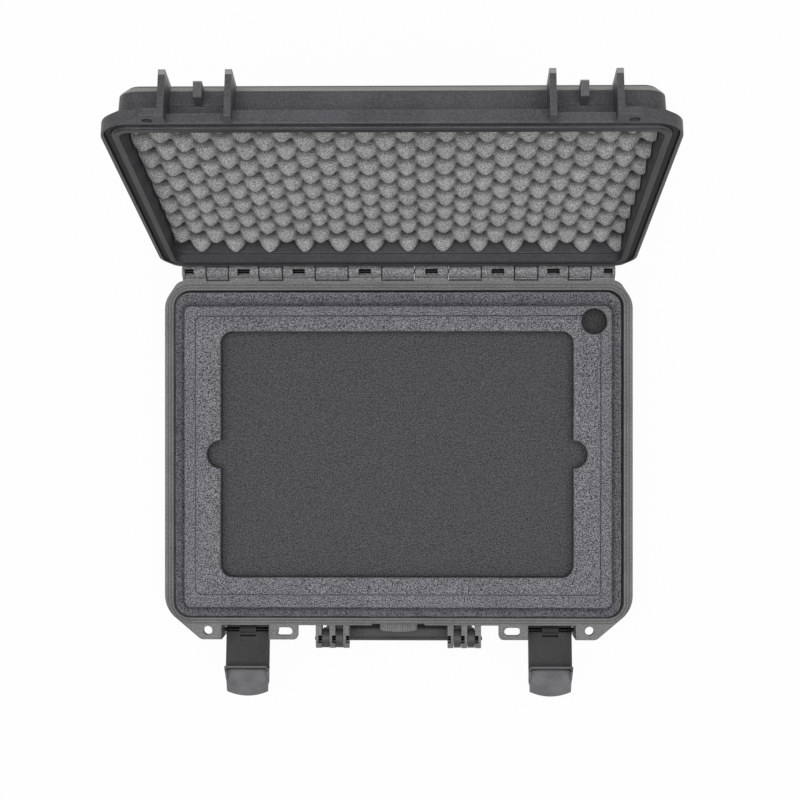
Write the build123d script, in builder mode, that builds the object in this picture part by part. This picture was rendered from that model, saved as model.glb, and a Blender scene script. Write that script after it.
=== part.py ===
from build123d import *

import os
from math import cos, radians, sin, tan

# Laptop hard case, millimetres. +Z up, +Y towards the hinge, origin at the centre of the
# resting face under the base. The lid stands open, the latches are swung out and the
# handle hangs down.

# ------------------------------------------------------------------ shells
opening_width = 457.6
opening_depth = 333.4
opening_corner = 17.0
base_height = 98.0
wall = 3.6
floor_thickness = 3.6
base_draft = 2.5
bottom_round = 6.0
bottom_groove_depth = 0.9
bottom_groove_width = 6.0
bottom_groove_inset = 34.0

rim_side = 9.1
rim_front = 7.7
band_height = 11.7
rim_edge_round = 1.0
rim_gap = 0.3
ridge_width = 5.2
ridge_height = 2.0
ridge_notch_width = 0.6
ridge_notch_depth = 1.2
rib_thickness = 5.0
rib_bottom = 26.0
rib_pitch = 92.0
rib_setback = 1.2

lid_height = 43.2
lid_wall_inset = 7.6
lid_side_flare = 5.3
lid_corner = 20.0
lid_draft = 2.0
lid_top_thickness = 5.0
lid_top_chamfer = 6.0
lid_panel_depth = 1.5
lid_panel_inset = 36.0
lip_inset = 7.0
lip_side_gap = 1.5
lip_drop = 1.5
lip_relief_depth = 7.0

# ------------------------------------------------------------------ lid seal
groove_inner_offset = -0.8
groove_width = 6.5
groove_depth = 7.0
gasket_side_gap = 0.15
gasket_height = 4.95
gasket_round = 1.2

# ------------------------------------------------------------------ wings and ears
wing_reach = 14.6
wing_thickness = 7.0
corner_run_side = 31.3
corner_run_front = 36.8
corner_side_round = 30.0
corner_wing_round = 8.0
latch_from_side = 81.9
latch_bay_width = 48.0
inner_wing_width = 30.0
inner_wing_round = 5.0
bay_corner_round = 1.5
ear_thickness = 5.5
ear_top_drop = 1.0
base_ear_drop = 60.0
base_ear_round = 9.0
lid_ear_height = 41.0
lid_ear_round = 2.0
lock_hole_radius = 4.5
lock_hole_inset = 9.3
lock_hole_from_bay = 14.0
slot_length = 16.5
slot_width = 8.2
slot_inset = 8.4
slot_from_bay = 16.0

# ------------------------------------------------------------------ hinge
lid_open_angle = 104.2
hinge_back = 19.3
hinge_drop = 1.5
hinge_end_x = 219.6
# ends of the knuckles outwards from the middle: lid, base, lid, base and so on
knuckle_ends = (16.6, 50.8, 84.2, 117.6, 141.5, 172.5, 195.1, hinge_end_x)
knuckle_radius = 7.5
knuckle_gap = 0.4
knuckle_root = 4.0
knuckle_arm_slope = 1.5
knuckle_gusset_drop = 34.0
knuckle_tangent = 40.0
rim_back = 9.5
lid_rim_back = 9.8
back_corner_run = 30.5
back_corner_slope = 56.6
back_corner_round = 25.0
back_end_round = 12.0
hinge_pin_radius = 2.0
pin_window_width = 12.6
pin_window_end_width = 9.2
pin_window_end_inset = 2.7
pin_window_depth = 6.4
pin_window_shift = 1.4
stop_gap = 0.35
heel_drop = 6.0
heel_rise = 1.4
press_clearance = 0.02
running_clearance = 0.08

# ------------------------------------------------------------------ latches
latch_pivot_drop = 28.0
latch_pivot_setback = 6.5
latch_open_angle = 80.0
latch_width = 44.6
latch_pin_radius = 2.0
latch_barrel_radius = 4.6
latch_barrel_width = 17.0
web_inner = 1.0
web_thickness = 3.4
web_start = 2.7
flange_depth = 4.4
flange_slope = 2.0
flange_thickness = 2.6
ledge_height = 9.0
ledge_clearance = 0.25
hook_reach = 14.0
hook_thickness = 3.2
hook_rim_thickness = 2.0
gusset_thickness = 2.4
gusset_run = 11.0
tip_height = 67.5
tip_arc_rise = 4.6
tip_flare = 9.0
tip_lean = 0.75
tip_thickness = 3.0
tip_edge = 1.2
tip_lip_run = 9.0
tip_lip_rise = 5.2
latch_window_width = 17.0
latch_window_height = 2.0
latch_window_from = 5.4
heel_length = 11.3
pin_chamfer = 0.3
latch_stop_width = 15.0
latch_stop_height = 7.0
latch_stop_reach = 5.7
latch_stop_gap = 0.3
nub_width = 7.0
nub_reach = 16.0
nub_bottom = 21.0
nub_top = 37.5
nub_slope = 3.0
nub_round = 1.5
latch_pad_thickness = 1.2
latch_pad_bottom = 22.0
latch_pad_top = 33.0

# ------------------------------------------------------------------ handle
handle_axis_reach = 14.6
handle_axis_drop = 12.0
handle_leaf_radius = 9.5
bracket_radius = 10.0
bracket_leaf_width = 6.0
bracket_first_x = 50.2
bracket_pitch = 14.0
bracket_foot = 16.0
leaf_side_gap = 0.5
handle_pin_radius = 2.0
handle_pin_nub = 1.2
leaf_notch_width = 3.4
leaf_notch_depth = 8.2
leaf_root = 4.0
arm_depth = 17.0
arm_top_drop = 14.5
grip_top_drop = 36.0
grip_height = 23.0
grip_round = 6.0
handle_corner = 13.8
grip_groove_end = 8.0

# ------------------------------------------------------------------ pressure valve
valve_drop = 26.0
valve_boss_radius = 23.0
valve_boss_reach = 5.1
valve_knob_radius = 19.2
valve_knob_depth = 8.6
knob_cup_gap = 0.3
coin_slot_length = 23.0
coin_slot_width = 3.2
coin_slot_depth = 1.2
knurl_count = 48
knurl_radius = 0.9
valve_flange_radius = 13.0
valve_flange_thickness = 2.4
valve_stem_radius = 8.0
valve_stem_inside = 5.0
valve_spigot_radius = 6.0
valve_spigot_length = 4.4
valve_air_radius = 3.0
valve_seal_thickness = 1.2
valve_seal_width = 4.3
valve_seal_gap = 0.3
valve_nut_flat = 22.0
valve_nut_thickness = 4.0
valve_seat_radius = 13.4
valve_seat_proud = 0.4
membrane_radius = 5.0
membrane_thickness = 0.6
rim_scallop_width = 54.0
rim_scallop_depth = 2.0
rim_scallop_round = 1.9
grip_slot_width = 2.4
grip_slot_depth = 2.2

# ------------------------------------------------------------------ foam
foam_gap = 1.2
foam_shift_x = -0.6
foam_shift_y = -0.6
foam_ledge_drop = 9.0
foam_top_drop = 2.0
plateau_side_inset = 10.8
plateau_back_inset = 15.3
plateau_front_inset = 10.4
plateau_corner = 8.0
tray_side_inset = 22.2
tray_back_inset = 25.4
tray_front_inset = 23.6
tray_corner = 6.0
tray_gap = 0.3
pocket_side_inset = 49.1
pocket_end_inset = 41.4
pocket_depth = 17.0
pocket_corner = 12.0
pocket_shift_x = -1.0
finger_notch_radius = 14.3
lift_hole_radius = 13.2
lift_hole_side = 29.0
lift_hole_back = 31.2
post_wall_side = 5.0
post_wall_back = 4.5
nut_recess_radius = 15.0
nut_recess_depth = 7.0
lid_foam_gap = 0.8
lid_foam_recess = 12.5
finger_pitch_x = 34.52
finger_pitch_y = 36.6
finger_side_inset = 32.8
finger_shift_y = -1.5
finger_height = 13.0
finger_gap = 0.9
finger_slope = 31.6

# ------------------------------------------------------------------ worked-out places
rim_z = base_height
lid_rim_z = rim_z + rim_gap
side_x = opening_width / 2 + rim_side
front_y = -(opening_depth / 2 + rim_front)
wing_y = front_y - wing_reach
hinge_y = opening_depth / 2 + hinge_back
hinge_z = rim_z - hinge_drop
base_back_y = hinge_y - rim_back
lid_back_y = hinge_y - lid_rim_back
latch_center_x = side_x - latch_from_side
bay_inner_x = latch_center_x - latch_bay_width / 2
bay_outer_x = latch_center_x + latch_bay_width / 2
lock_hole_x = bay_outer_x + lock_hole_from_bay
lock_hole_y = wing_y + lock_hole_inset
slot_x = bay_inner_x - slot_from_bay
slot_y = wing_y + slot_inset
latch_y = wing_y + latch_pivot_setback
latch_z = rim_z - latch_pivot_drop
handle_y = front_y - handle_axis_reach
handle_z = rim_z - handle_axis_drop
valve_z = rim_z - valve_drop
boss_face_y = -(opening_depth / 2 + valve_boss_reach)
front_wall_y = -(opening_depth / 2 - lid_wall_inset)
rib_top = rim_z - band_height / 2
rib_root_x = opening_width / 2 + wall / 2
rib_depth = side_x - rib_setback - rib_root_x
rib_run = (rib_top - rib_bottom) * tan(radians(base_draft))
open_cos = cos(radians(lid_open_angle))
open_sin = sin(radians(lid_open_angle))


def opened(x, y, z):
    """Where a point of the closed lid lies when the lid stands open."""
    back = y - hinge_y
    up = z - hinge_z
    return (
        x,
        hinge_y + back * open_cos + up * open_sin,
        hinge_z - back * open_sin + up * open_cos,
    )


def lid_level(z):
    """Level plane of the closed lid, in its open place, with the closed X and Y."""
    return Plane(
        origin=opened(0, 0, z), x_dir=(1, 0, 0), z_dir=(0, open_sin, open_cos)
    )


def lid_side(x):
    """Upright plane across X of the closed lid, in its open place: (Y, Z) closed."""
    return Plane(
        origin=opened(x, 0, 0), x_dir=(0, open_cos, -open_sin), z_dir=(1, 0, 0)
    )


def base_side(x):
    """Upright plane across X: sketch coordinates are (Y, Z)."""
    return Plane(origin=(x, 0, 0), x_dir=(0, 1, 0), z_dir=(1, 0, 0))


def base_front(y):
    """Upright plane facing the front: sketch coordinates are (X, Z)."""
    return Plane(origin=(0, y, 0), x_dir=(1, 0, 0), z_dir=(0, -1, 0))


def latch_side(x):
    """Plane across X through a latch pivot, turned with the latch swung out.
    Sketch x points in at the case and y up the latch when it is shut."""
    turn = radians(latch_open_angle)
    return Plane(
        origin=(x, latch_y, latch_z), x_dir=(0, cos(turn), sin(turn)), z_dir=(1, 0, 0)
    )


def latch_face(x, depth):
    """Plane of a latch's flat web, at this depth inwards: sketch (X, up the latch)."""
    turn = radians(latch_open_angle)
    inward = (0, cos(turn), sin(turn))
    return Plane(
        origin=(x, latch_y + depth * inward[1], latch_z + depth * inward[2]),
        x_dir=(1, 0, 0),
        z_dir=(0, -inward[1], -inward[2]),
    )


def both_sides(points):
    """Closed outline from its right-hand half, given as (x, y, corner radius)."""
    mirrored = [(-x, y, radius) for x, y, radius in reversed(points)]
    outline = list(points) + mirrored
    corners = [(x, y) for x, y, radius in outline]
    FilletPolyline(
        *corners, radius=[radius for x, y, radius in outline], close=True
    )


def rim_corner(back_y):
    """Points of the rim's right-hand side, from the front corner round to the back."""
    corner_y = hinge_y - back_corner_run
    end_x = side_x - (back_y - corner_y) / tan(radians(back_corner_slope))
    return [
        (side_x, wing_y + corner_run_side, corner_side_round),
        (side_x, corner_y, back_corner_round),
        (end_x, back_y, back_end_round),
    ]


def rim_outline(back_y):
    """Plan outline of a rim band, with the cut-back corners of the wings."""
    run = corner_run_side - wing_reach
    front_x = side_x - run * corner_run_front / corner_run_side
    both_sides([(front_x, front_y, 0)] + rim_corner(back_y))


def wing_outline(back_y, inner_wings):
    """Plan outline of a rim with its wings, which leave two bays for the latches."""
    outer_wing = [
        (bay_outer_x, front_y, 0),
        (bay_outer_x, wing_y, bay_corner_round),
        (side_x - corner_run_front, wing_y, corner_wing_round),
    ]
    inner_wing = [
        (bay_inner_x - inner_wing_width, front_y, 0),
        (bay_inner_x - inner_wing_width, wing_y, inner_wing_round),
        (bay_inner_x, wing_y, bay_corner_round),
        (bay_inner_x, front_y, 0),
    ]
    both_sides((inner_wing if inner_wings else []) + outer_wing + rim_corner(back_y))


def tub(offset, z):
    """Rounded rectangle of the base walls, this far outside the inner face at z."""
    shrink = (rim_z - z) * tan(radians(base_draft))
    grow = 2 * (offset - shrink)
    RectangleRounded(
        opening_width + grow,
        opening_depth + grow,
        max(opening_corner + offset - shrink, 1),
    )


def lid_tub(inset):
    """Rounded rectangle of the lid walls at the rim, this far inside the opening."""
    RectangleRounded(
        opening_width + 2 * (lid_side_flare - inset),
        opening_depth - 2 * inset,
        lid_corner + lid_wall_inset - inset,
    )


def seal_loop(inner_offset, width):
    """Flat ring along the rim, from an offset outside the opening."""
    for offset, mode in ((inner_offset + width, Mode.ADD), (inner_offset, Mode.SUBTRACT)):
        RectangleRounded(
            opening_width + 2 * offset,
            opening_depth + 2 * offset,
            opening_corner + offset,
            mode=mode,
        )


def spans(first):
    """X ranges of every second hinge knuckle, from the middle outwards, both sides."""
    ends = (0,) + knuckle_ends
    found = []
    for index in range(first, len(ends) - 1, 2):
        low, high = ends[index], ends[index + 1]
        if index == 0:
            found.append((-high, high))
        else:
            found += [(low, high), (-high, -low)]
    return found


def ear_spans():
    """X ranges of the four ears beside the two latch bays."""
    right = [
        (bay_inner_x - ear_thickness, bay_inner_x),
        (bay_outer_x, bay_outer_x + ear_thickness),
    ]
    return right + [(-high, -low) for low, high in right]


def bracket_spans():
    """X ranges of the handle bracket leaves, both sides."""
    starts = [bracket_first_x + i * bracket_pitch for i in range(3)]
    right = [(start, start + bracket_leaf_width) for start in starts]
    return right + [(-high, -low) for low, high in right]


def handle_leaf_spans():
    """X ranges of the handle leaves, which sit between the bracket leaves."""
    right = [
        (
            bracket_first_x + bracket_leaf_width + i * bracket_pitch + leaf_side_gap,
            bracket_first_x + (i + 1) * bracket_pitch - leaf_side_gap,
        )
        for i in range(2)
    ]
    return right + [(-high, -low) for low, high in right]


def finish(part, label):
    """Label a piece and write it to its own STEP file."""
    part.label = label
    export_step(part, f"parts/{label}.step")
    print(label, round(part.volume / 1000, 2), "cm3", len(part.solids()), "solid")


os.makedirs("parts", exist_ok=True)

# ------------------------------------------------------------------ base shell
with BuildPart() as base_shell:
    # tub with drafted walls
    with BuildSketch(Plane.XY.offset(rim_z)):
        tub(wall, rim_z)
    extrude(amount=-rim_z, taper=base_draft)
    fillet(base_shell.faces().sort_by(Axis.Z)[0].edges(), bottom_round)
    # rim band
    with BuildSketch(Plane.XY.offset(rim_z - band_height)):
        with BuildLine():
            rim_outline(base_back_y)
        make_face()
    extrude(amount=band_height)
    # wings with the padlock holes and the strap slots
    with BuildSketch(Plane.XY.offset(rim_z)):
        with BuildLine():
            wing_outline(base_back_y, True)
        make_face()
        with Locations((-lock_hole_x, lock_hole_y), (lock_hole_x, lock_hole_y)):
            Circle(lock_hole_radius, mode=Mode.SUBTRACT)
        with Locations((-slot_x, slot_y), (slot_x, slot_y)):
            SlotOverall(slot_length, slot_width, mode=Mode.SUBTRACT)
    extrude(amount=-wing_thickness)
    fillet(base_shell.faces().sort_by(Axis.Z)[-1].outer_wire().edges(), rim_edge_round)
    # ears that carry the latch pins
    for low, high in ear_spans():
        with BuildSketch(base_side(low)):
            with BuildLine():
                FilletPolyline(
                    (front_y + rim_front, rim_z - ear_top_drop),
                    (wing_y, rim_z - ear_top_drop),
                    (wing_y, rim_z - base_ear_drop),
                    (front_y + rim_front, rim_z - base_ear_drop),
                    radius=[0, base_ear_round],
                )
                Line(
                    (front_y + rim_front, rim_z - base_ear_drop),
                    (front_y + rim_front, rim_z - ear_top_drop),
                )
            make_face()
            with Locations((latch_y, latch_z)):
                Circle(latch_pin_radius + press_clearance, mode=Mode.SUBTRACT)
        extrude(amount=high - low)
    # stops that hold the latches when they are swung out
    with BuildSketch(base_front(front_y + rim_front)):
        with Locations(
            (-latch_center_x, latch_z + latch_stop_height / 2 + latch_stop_gap),
            (latch_center_x, latch_z + latch_stop_height / 2 + latch_stop_gap),
        ):
            Rectangle(latch_stop_width, latch_stop_height)
    extrude(amount=rim_front - wall + latch_stop_reach)
    # handle bracket leaves
    for low, high in bracket_spans():
        with BuildSketch(base_side(low)):
            Polygon(
                (front_y + rim_front, handle_z + bracket_radius),
                (handle_y, handle_z + bracket_radius),
                (handle_y, handle_z - bracket_radius),
                (front_y + rim_front, handle_z - bracket_foot),
                align=None,
            )
            with Locations((handle_y, handle_z)):
                Circle(bracket_radius)
                Circle(handle_pin_radius + press_clearance, mode=Mode.SUBTRACT)
        extrude(amount=high - low)
    # hinge knuckles with their gussets
    for low, high in spans(1):
        with BuildSketch(base_side(low)):
            Polygon(
                (base_back_y - knuckle_root, rim_z),
                (hinge_y - knuckle_radius, rim_z),
                (hinge_y, hinge_z),
                (
                    hinge_y + knuckle_radius * cos(radians(knuckle_tangent)),
                    hinge_z - knuckle_radius * sin(radians(knuckle_tangent)),
                ),
                (base_back_y - rim_front, rim_z - knuckle_gusset_drop),
                align=None,
            )
            with Locations((hinge_y, hinge_z)):
                Circle(knuckle_radius)
                Circle(hinge_pin_radius + press_clearance, mode=Mode.SUBTRACT)
        extrude(amount=high - low)
    # ribs down the side walls
    for y in (-rib_pitch, 0, rib_pitch):
        with BuildSketch(base_front(y + rib_thickness / 2)):
            with BuildLine():
                Polyline(
                    (rib_root_x, rib_top),
                    (rib_root_x + rib_depth, rib_top),
                    (rib_root_x + rib_depth - rib_run, rib_bottom),
                    (rib_root_x - rib_run, rib_bottom - rib_depth),
                    close=True,
                )
            make_face()
            mirror(about=Plane.YZ)
        extrude(amount=rib_thickness)
    # boss for the pressure valve
    with BuildSketch(base_front(-opening_depth / 2 + wall)):
        with Locations((0, valve_z)):
            Circle(valve_boss_radius)
    extrude(amount=wall + valve_boss_reach)
    # inside of the tub
    with BuildSketch(Plane.XY.offset(rim_z)):
        tub(0, rim_z)
    extrude(amount=-(rim_z - floor_thickness), taper=base_draft, mode=Mode.SUBTRACT)
    # seal ridge with its fine notch
    with BuildSketch(Plane.XY.offset(rim_z)):
        seal_loop(0, ridge_width)
    extrude(amount=ridge_height)
    with BuildSketch(Plane.XY.offset(rim_z + ridge_height)):
        seal_loop((ridge_width - ridge_notch_width) / 2, ridge_notch_width)
    extrude(amount=-ridge_notch_depth, mode=Mode.SUBTRACT)
    # windows that show the hinge pin
    for low, high in spans(1):
        at_end = max(abs(low), abs(high)) == hinge_end_x
        width = pin_window_end_width if at_end else pin_window_width
        middle = (low + high) / 2
        if at_end:
            inset = pin_window_end_inset + width / 2
            middle = (hinge_end_x - inset) * (1 if low > 0 else -1)
        with BuildSketch(Plane.XY.offset(hinge_z - hinge_pin_radius)):
            with Locations((middle, hinge_y - pin_window_shift)):
                Rectangle(width, pin_window_depth)
        extrude(amount=knuckle_radius * 2, mode=Mode.SUBTRACT)
    # notches in the bracket leaves that show the handle pin
    for low, high in bracket_spans():
        edge = low if low > 0 else high - leaf_notch_width
        with BuildSketch(Plane.XY.offset(handle_z - handle_pin_radius)):
            with Locations((edge + leaf_notch_width / 2, handle_y)):
                Rectangle(leaf_notch_width, leaf_notch_depth)
        extrude(amount=bracket_radius * 2, mode=Mode.SUBTRACT)
    # scallop in the rim that frees the valve knob
    with BuildSketch(Plane.XY.offset(rim_z)):
        with Locations((0, front_y)):
            RectangleRounded(rim_scallop_width, 2 * rim_scallop_depth, rim_scallop_round)
    extrude(amount=-band_height, mode=Mode.SUBTRACT)
    # hole and inner seat of the valve
    with BuildSketch(base_front(boss_face_y)):
        with Locations((0, valve_z)):
            Circle(valve_stem_radius + press_clearance)
    extrude(amount=-4 * wall, mode=Mode.SUBTRACT)
    with BuildSketch(base_front(-opening_depth / 2 + 4 * wall)):
        with Locations((0, valve_z)):
            Circle(valve_seat_radius)
    extrude(amount=4 * wall - valve_seat_proud, mode=Mode.SUBTRACT)
    # shallow grooves in the resting face
    with BuildSketch():
        for inset in (bottom_groove_inset, bottom_groove_inset + 2 * bottom_groove_width):
            grow = -2 * inset
            RectangleRounded(opening_width + grow, opening_depth + grow, opening_corner)
            RectangleRounded(
                opening_width + grow - 2 * bottom_groove_width,
                opening_depth + grow - 2 * bottom_groove_width,
                opening_corner - bottom_groove_width,
                mode=Mode.SUBTRACT,
            )
    extrude(amount=bottom_groove_depth, mode=Mode.SUBTRACT)

finish(base_shell.part, "base_shell")

# ------------------------------------------------------------------ lid shell
with BuildPart() as lid_shell:
    # tray-shaped lid with drafted walls
    with BuildSketch(lid_level(lid_rim_z)):
        lid_tub(lid_wall_inset)
    extrude(amount=lid_height, taper=lid_draft)
    lid_top = lid_shell.faces().filter_by(
        lambda face: (face.center() - Vector(opened(0, 0, lid_rim_z + lid_height))).length < 1
    )
    chamfer(lid_top[0].edges(), lid_top_chamfer)
    # rim band
    with BuildSketch(lid_level(lid_rim_z)):
        with BuildLine():
            rim_outline(lid_back_y)
        make_face()
    extrude(amount=band_height)
    # wings with the padlock holes
    with BuildSketch(lid_level(lid_rim_z)):
        with BuildLine():
            wing_outline(lid_back_y, False)
        make_face()
        with Locations((-lock_hole_x, lock_hole_y), (lock_hole_x, lock_hole_y)):
            Circle(lock_hole_radius, mode=Mode.SUBTRACT)
    extrude(amount=wing_thickness)
    lid_rim_face = lid_shell.faces().sort_by(
        lambda face: abs(lid_level(lid_rim_z).to_local_coords(face.center()).Z)
    )[0]
    fillet(lid_rim_face.outer_wire().edges(), rim_edge_round)
    # the latches hook over a lower stretch of the band
    with BuildSketch(lid_level(lid_rim_z + ledge_height)):
        with Locations((-latch_center_x, front_y), (latch_center_x, front_y)):
            Rectangle(latch_bay_width, 2 * (front_wall_y - front_y))
    extrude(amount=band_height, mode=Mode.SUBTRACT)
    # ears that guard the latches
    for low, high in ear_spans():
        with BuildSketch(lid_side(low)):
            with BuildLine():
                FilletPolyline(
                    (front_wall_y + 2 * wall, lid_rim_z),
                    (wing_y, lid_rim_z),
                    (wing_y, lid_rim_z + lid_ear_height),
                    (front_wall_y + lid_top_chamfer, lid_rim_z + lid_ear_height),
                    (front_wall_y + 2 * wall, lid_rim_z + lid_height - 2 * lid_top_chamfer),
                    radius=[0, lid_ear_round, 0],
                )
                Line(
                    (front_wall_y + 2 * wall, lid_rim_z + lid_height - 2 * lid_top_chamfer),
                    (front_wall_y + 2 * wall, lid_rim_z),
                )
            make_face()
        extrude(amount=high - low)
    # nubs and pads behind the latches
    for x in (-latch_center_x, latch_center_x):
        with BuildSketch(lid_side(x - nub_width / 2)):
            with BuildLine():
                FilletPolyline(
                    (front_wall_y + wall, lid_rim_z + nub_bottom),
                    (front_wall_y - nub_reach + nub_slope, lid_rim_z + nub_bottom + nub_slope),
                    (front_wall_y - nub_reach, lid_rim_z + nub_top),
                    (front_wall_y + wall, lid_rim_z + nub_top),
                    radius=[0, nub_round, nub_round, 0],
                    close=True,
                )
            make_face()
        extrude(amount=nub_width)
        with BuildSketch(lid_side(x - latch_bay_width / 2)):
            Polygon(
                (front_wall_y + wall, lid_rim_z + latch_pad_bottom),
                (front_wall_y - latch_pad_thickness, lid_rim_z + latch_pad_bottom),
                (front_wall_y + latch_pad_thickness, lid_rim_z + latch_pad_top),
                (front_wall_y + wall, lid_rim_z + latch_pad_top),
                align=None,
            )
        extrude(amount=latch_bay_width)
    # hinge knuckles: barrel, arm to the band, and heel that meets the base when open
    for low, high in spans(0):
        with BuildSketch(lid_side(low + knuckle_gap)):
            Polygon(
                (lid_back_y - knuckle_root, lid_rim_z),
                (hinge_y - knuckle_radius - knuckle_arm_slope, lid_rim_z),
                (hinge_y - knuckle_radius + knuckle_arm_slope, hinge_z - hinge_drop / 2),
                (hinge_y, hinge_z),
                (
                    hinge_y + knuckle_radius * cos(radians(knuckle_tangent)),
                    hinge_z + knuckle_radius * sin(radians(knuckle_tangent)),
                ),
                (lid_back_y, lid_rim_z + band_height),
                (lid_back_y - knuckle_root, lid_rim_z + band_height),
                align=None,
            )
            with Locations((hinge_y, hinge_z)):
                Circle(knuckle_radius)
        extrude(amount=high - low - 2 * knuckle_gap)
        with BuildSketch(base_side(low + knuckle_gap)):
            Polygon(
                (base_back_y + stop_gap, hinge_z + heel_rise),
                (hinge_y, hinge_z + heel_rise),
                (hinge_y, hinge_z - heel_drop),
                (base_back_y + stop_gap, hinge_z - heel_drop),
                align=None,
            )
        extrude(amount=high - low - 2 * knuckle_gap)
    # bore for the hinge pin
    with BuildSketch(base_side(-hinge_end_x)):
        with Locations((hinge_y, hinge_z)):
            Circle(hinge_pin_radius + running_clearance)
    extrude(amount=2 * hinge_end_x, mode=Mode.SUBTRACT)
    # inside of the lid
    with BuildSketch(lid_level(lid_rim_z)):
        lid_tub(lid_wall_inset + wall)
    extrude(amount=lid_height - lid_top_thickness, taper=lid_draft, mode=Mode.SUBTRACT)
    # inner lip, with the relief behind it
    with BuildSketch(lid_level(lid_rim_z)):
        seal_loop(-lip_inset, lip_inset - lip_side_gap)
    extrude(amount=-lip_drop)
    with BuildSketch(lid_level(lid_rim_z)):
        RectangleRounded(
            opening_width - 2 * lip_inset,
            opening_depth - 2 * lip_inset,
            opening_corner - lip_inset,
        )
    extrude(amount=lip_relief_depth, mode=Mode.SUBTRACT)
    # groove for the gasket
    with BuildSketch(lid_level(lid_rim_z)):
        seal_loop(groove_inner_offset, groove_width)
    extrude(amount=groove_depth, mode=Mode.SUBTRACT)
    # sunk panel on the outside of the lid
    with BuildSketch(lid_level(lid_rim_z + lid_height)):
        RectangleRounded(
            opening_width - 2 * lid_panel_inset,
            opening_depth - 2 * lid_panel_inset,
            opening_corner,
        )
    extrude(amount=-lid_panel_depth, mode=Mode.SUBTRACT)

finish(lid_shell.part, "lid_shell")

# ------------------------------------------------------------------ lid gasket
with BuildPart() as lid_gasket:
    with BuildSketch(lid_level(lid_rim_z + groove_depth)):
        seal_loop(groove_inner_offset + gasket_side_gap, groove_width - 2 * gasket_side_gap)
    extrude(amount=-gasket_height)
    lower_face = lid_gasket.faces().sort_by(
        lambda face: (
            face.center() - Vector(opened(0, 0, lid_rim_z + groove_depth - gasket_height))
        ).length
    )[0]
    fillet(lower_face.edges(), gasket_round)

finish(lid_gasket.part, "lid_gasket")

# ------------------------------------------------------------------ hinge pin
with BuildPart() as hinge_pin:
    with BuildSketch(base_side(-hinge_end_x)):
        with Locations((hinge_y, hinge_z)):
            Circle(hinge_pin_radius)
    extrude(amount=2 * hinge_end_x)
    chamfer(hinge_pin.edges().filter_by(GeomType.CIRCLE), pin_chamfer)

finish(hinge_pin.part, "hinge_pin")

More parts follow.
